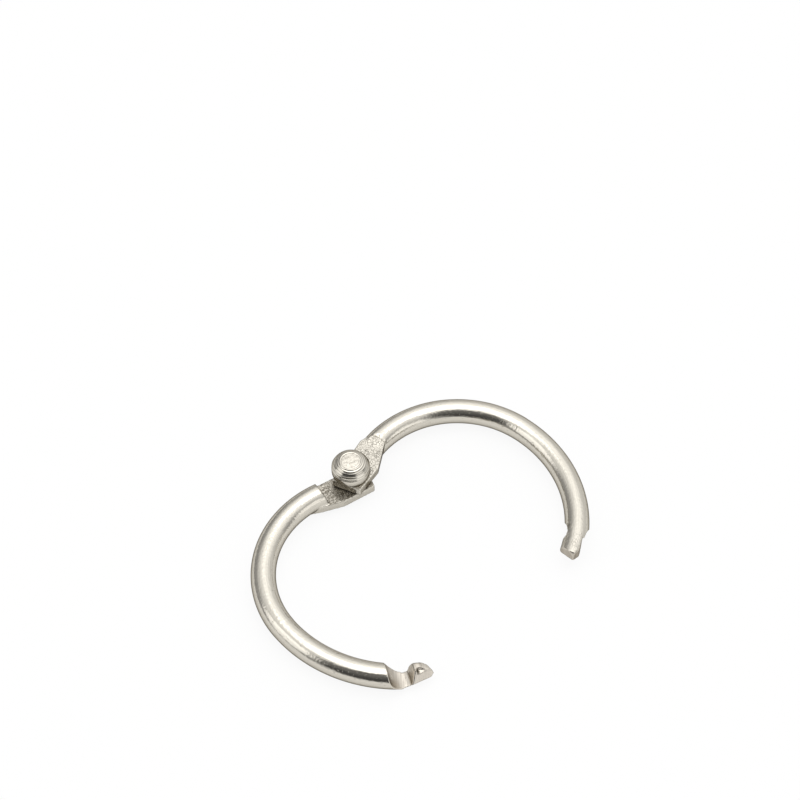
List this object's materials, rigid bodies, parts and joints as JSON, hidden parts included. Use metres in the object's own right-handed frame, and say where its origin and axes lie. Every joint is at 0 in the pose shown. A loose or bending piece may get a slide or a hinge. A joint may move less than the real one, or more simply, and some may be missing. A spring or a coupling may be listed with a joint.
{
  "type": "binder ring",
  "caption": "Hinged wire binder ring: two formed half rings turn on a rivet and snap together at hooked ends to hold punched sheets.",
  "frame": {"origin": "middle of the closed ring's eye, halfway from the rivet's axis to the latch, at the wire's mid-plane", "axes": "+X from the rivet towards the latch of the lower half, +Z along the rivet's axis towards its head, and the lower half lies towards -Y"},
  "size_m": [0.0305, 0.0337, 0.0044],
  "materials": {
    "nickel_wire": "bright nickel plate on formed steel wire",
    "nickel_rivet": "bright nickel plate on a headed steel rivet"
  },
  "bodies": {
    "lower_half": {"lower_half_ring": "nickel_wire", "rivet": "nickel_rivet"},
    "upper_half": {"upper_half_ring": "nickel_wire"}
  },
  "joints": [
    {"name": "ring_hinge", "type": "hinge", "parent": "lower_half", "child": "upper_half", "pos_m": [-0.01137, 0, 0], "axis": [0, 0, 1], "range_deg": [-55.5, 112]}
  ]
}
